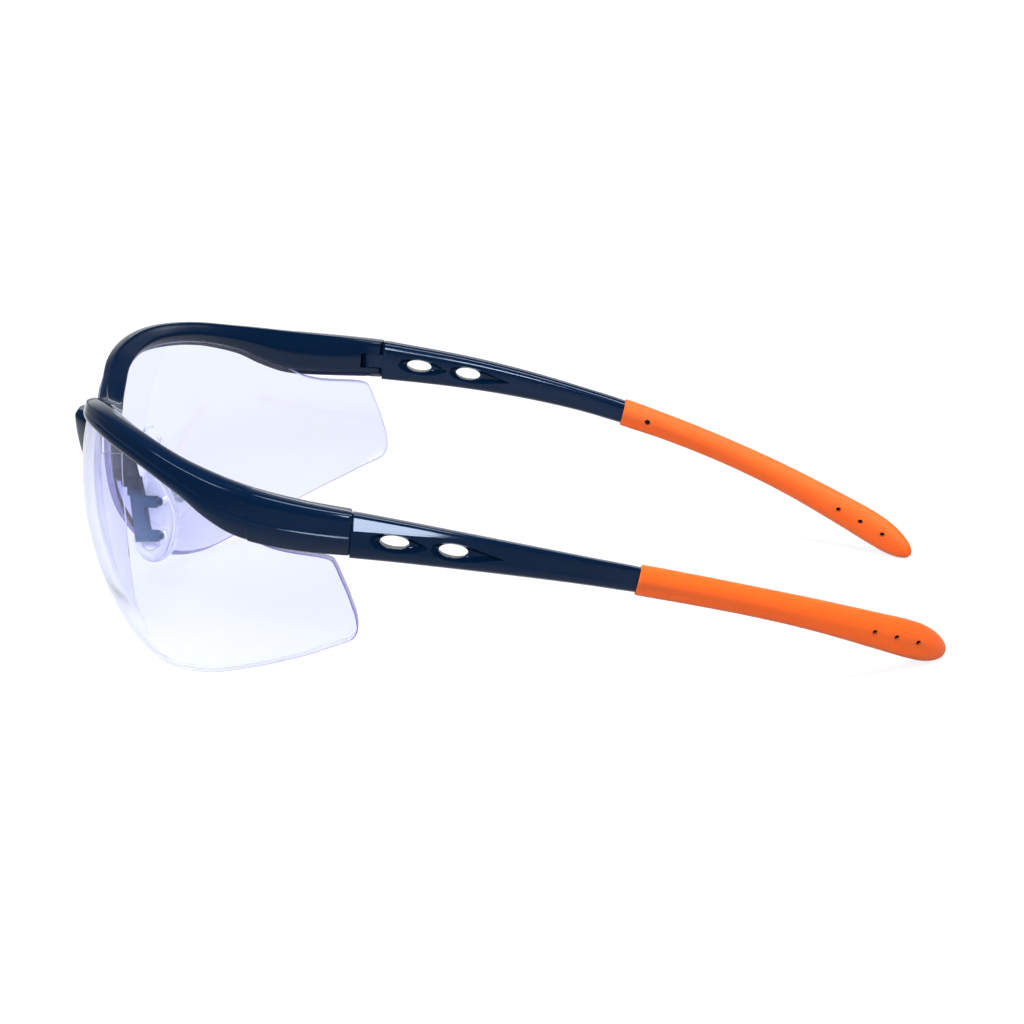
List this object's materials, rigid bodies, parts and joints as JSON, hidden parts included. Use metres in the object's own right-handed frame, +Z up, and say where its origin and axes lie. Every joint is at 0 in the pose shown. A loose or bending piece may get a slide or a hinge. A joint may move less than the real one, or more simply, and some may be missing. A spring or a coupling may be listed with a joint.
{
  "type": "safety reading glasses",
  "caption": "Half-frame safety glasses with clear wrap lenses, reading segments, adjustable soft nose pads and folding temples with soft tips.",
  "frame": {"origin": "centre of the bottom of the bounding box, on the surface that the lenses and the temple tips stand on", "axes": "+X towards the wearer's left, +Y back along the temples, +Z up; the mirror plane is x = 0"},
  "size_m": [0.1442, 0.1774, 0.0513],
  "materials": {
    "navy_plastic": "moulded plastic, dark navy, satin gloss",
    "clear_lens": "clear impact-resistant lens, polished",
    "clear_silicone": "soft translucent silicone, faintly violet",
    "soft_orange": "soft-touch orange rubber, matte",
    "hinge_steel": "plain steel pin"
  },
  "bodies": {
    "front": {"front_frame": "navy_plastic", "lens_left": "clear_lens", "lens_right": "clear_lens", "pad_carrier": "navy_plastic", "nose_pad_left": "clear_silicone", "nose_pad_right": "clear_silicone", "hinge_pin_left": "hinge_steel", "hinge_pin_right": "hinge_steel"},
    "left_temple": {"temple_left": "navy_plastic", "temple_tip_left": "soft_orange"},
    "right_temple": {"temple_right": "navy_plastic", "temple_tip_right": "soft_orange"}
  },
  "joints": [
    {"name": "left_temple_fold", "type": "hinge", "parent": "front", "child": "left_temple", "pos_m": [0.0689, -0.03079, 0.03628], "axis": [0, 0.0941, 0.9956], "range_deg": [0, 80]},
    {"name": "right_temple_fold", "type": "hinge", "parent": "front", "child": "right_temple", "pos_m": [-0.0689, -0.03079, 0.03628], "axis": [0, -0.0941, -0.9956], "range_deg": [0, 68]}
  ]
}
